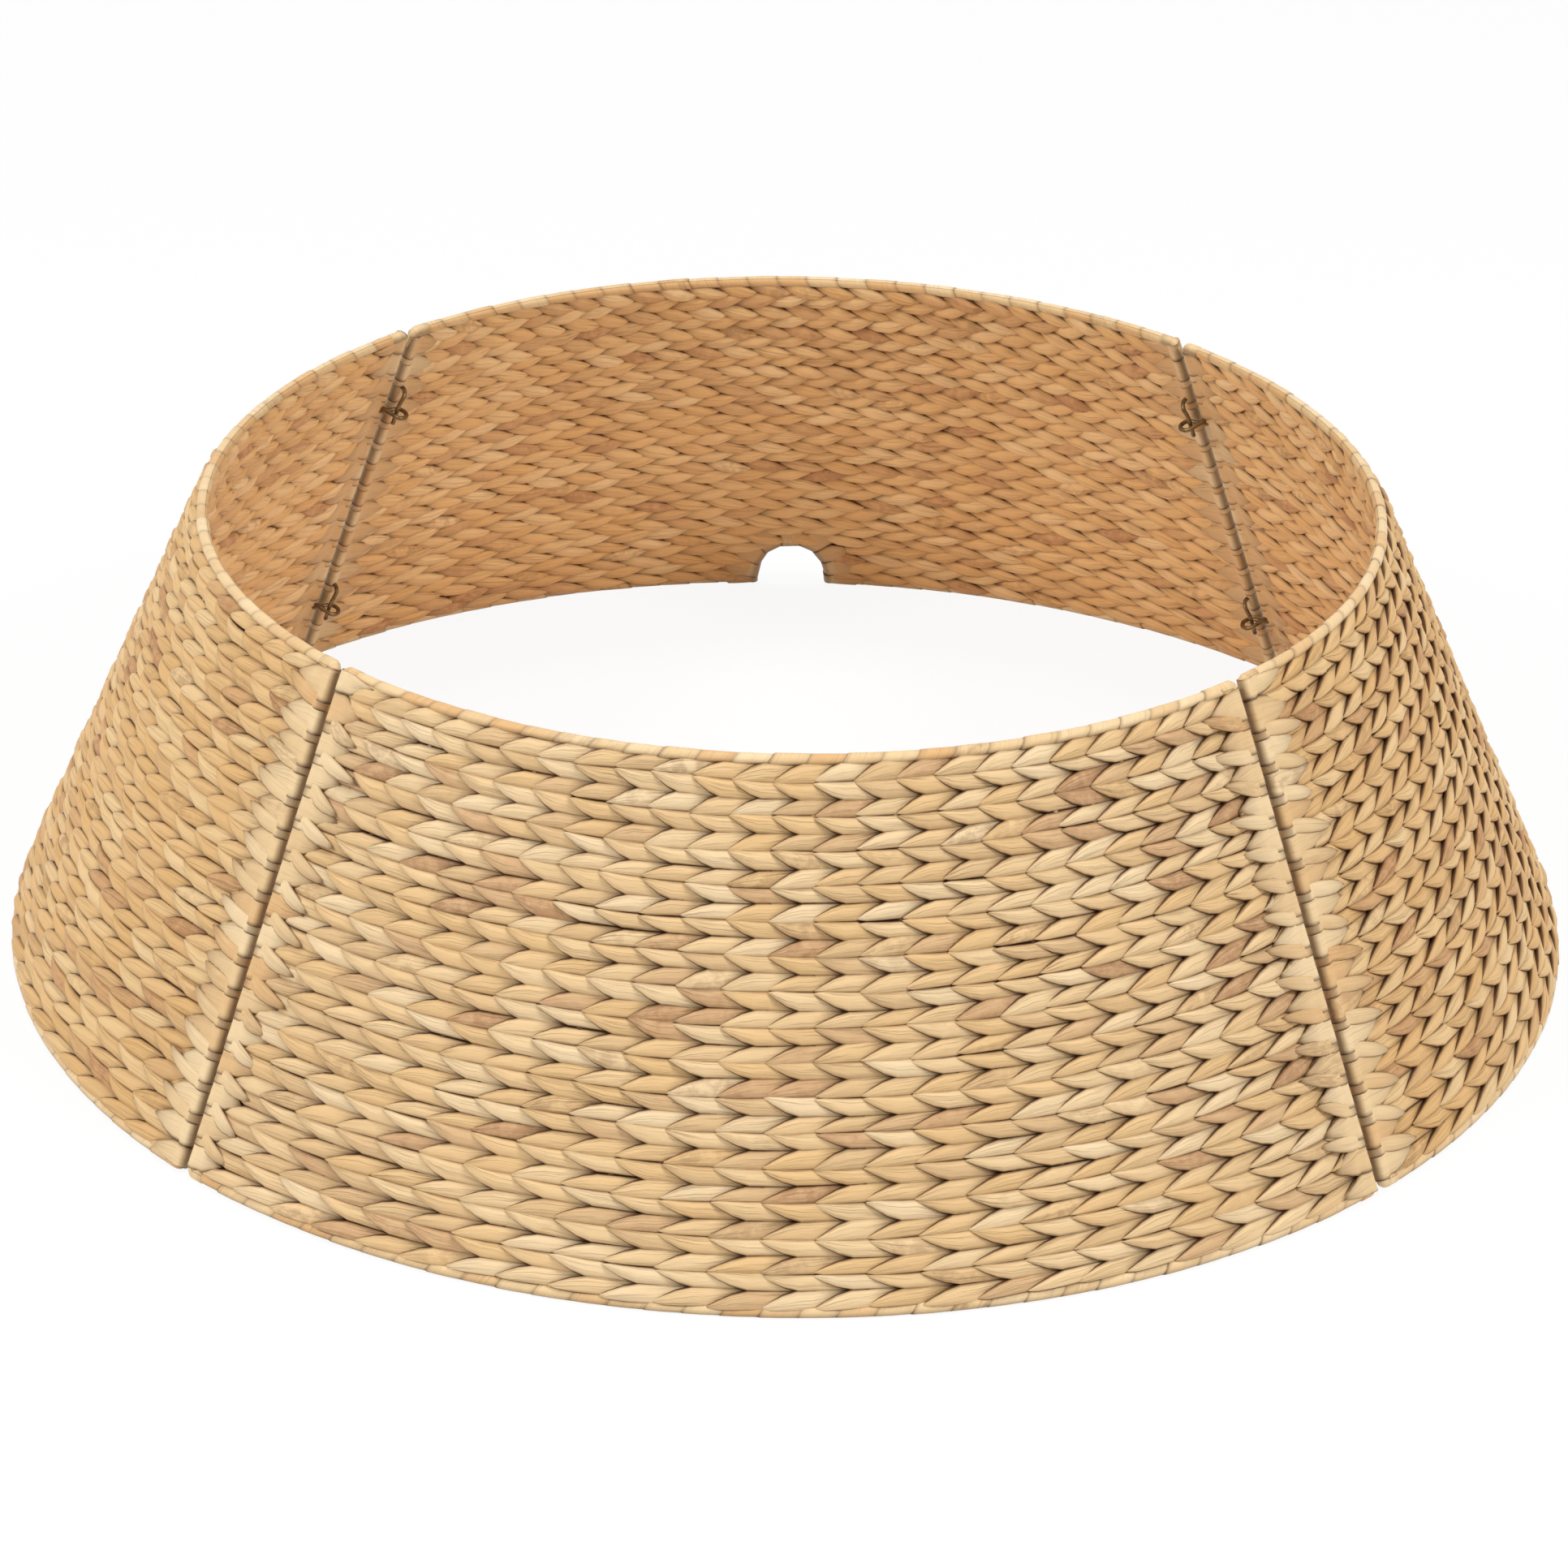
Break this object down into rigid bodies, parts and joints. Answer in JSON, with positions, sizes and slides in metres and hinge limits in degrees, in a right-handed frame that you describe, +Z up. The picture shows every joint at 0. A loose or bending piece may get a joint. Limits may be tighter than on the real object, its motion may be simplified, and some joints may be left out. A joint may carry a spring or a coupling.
{
  "type": "christmas tree collar",
  "caption": "Cone-shaped woven tree collar of curved water hyacinth panels on wire frames, hooked together with pins in eyes, with a cord notch at the back",
  "frame": {"origin": "on the floor in the middle of the ring, at the centre of the bottom of the bounding box", "axes": "+Z up; the front panel faces -Y; the back panel, with the cord notch, faces +Y; the right panel faces +X"},
  "size_m": [0.8058, 0.8066, 0.234],
  "materials": {
    "hyacinth_weave": "natural dried water hyacinth strips, straw coloured, satin",
    "hyacinth_binding": "natural dried water hyacinth strip, wound, straw coloured, satin",
    "frame_wire": "dark lacquered steel wire, hidden by the weave",
    "closure_wire": "bronze-brown lacquered steel wire, semi-gloss"
  },
  "bodies": {
    "back": {"back_panel_frame": "frame_wire", "back_panel_weave": "hyacinth_weave", "cord_notch_binding": "hyacinth_binding", "back_top_rim_binding": "hyacinth_binding", "back_bottom_rim_binding_left": "hyacinth_binding", "back_bottom_rim_binding_right": "hyacinth_binding", "back_left_edge_binding": "hyacinth_binding", "back_right_edge_binding": "hyacinth_binding", "back_left_upper_pin": "closure_wire", "back_left_lower_pin": "closure_wire", "back_right_upper_pin": "closure_wire", "back_right_lower_pin": "closure_wire"},
    "left": {"left_panel_frame": "frame_wire", "left_panel_weave": "hyacinth_weave", "left_top_rim_binding": "hyacinth_binding", "left_bottom_rim_binding": "hyacinth_binding", "left_front_edge_binding": "hyacinth_binding", "left_back_edge_binding": "hyacinth_binding", "left_front_upper_eye": "closure_wire", "left_front_lower_eye": "closure_wire", "left_back_upper_eye": "closure_wire", "left_back_lower_eye": "closure_wire"},
    "front": {"front_panel_frame": "frame_wire", "front_panel_weave": "hyacinth_weave", "front_top_rim_binding": "hyacinth_binding", "front_bottom_rim_binding": "hyacinth_binding", "front_right_edge_binding": "hyacinth_binding", "front_left_edge_binding": "hyacinth_binding", "front_right_upper_pin": "closure_wire", "front_right_lower_pin": "closure_wire", "front_left_upper_pin": "closure_wire", "front_left_lower_pin": "closure_wire"},
    "right": {"right_panel_frame": "frame_wire", "right_panel_weave": "hyacinth_weave", "right_top_rim_binding": "hyacinth_binding", "right_bottom_rim_binding": "hyacinth_binding", "right_back_edge_binding": "hyacinth_binding", "right_front_edge_binding": "hyacinth_binding", "right_back_upper_eye": "closure_wire", "right_back_lower_eye": "closure_wire", "right_front_upper_eye": "closure_wire", "right_front_lower_eye": "closure_wire"}
  },
  "joints": [
    {"name": "front_lift", "type": "slide", "parent": "back", "child": "front", "axis": [0, 0, 1], "range_m": [0, 0.3]},
    {"name": "right_swing", "type": "hinge", "parent": "back", "child": "right", "pos_m": [0.23959, 0.23959, 0.11282], "axis": [-0.2918, -0.2918, 0.9109], "range_deg": [0, 18]},
    {"name": "left_swing", "type": "hinge", "parent": "back", "child": "left", "pos_m": [-0.23959, 0.23959, 0.11282], "axis": [-0.2918, 0.2918, -0.9109], "range_deg": [0, 18]}
  ],
  "couplings": [
    {"joint": "right_swing", "follows": "front_lift", "rad_per_m": 1.0471},
    {"joint": "left_swing", "follows": "front_lift", "rad_per_m": 1.0471}
  ]
}
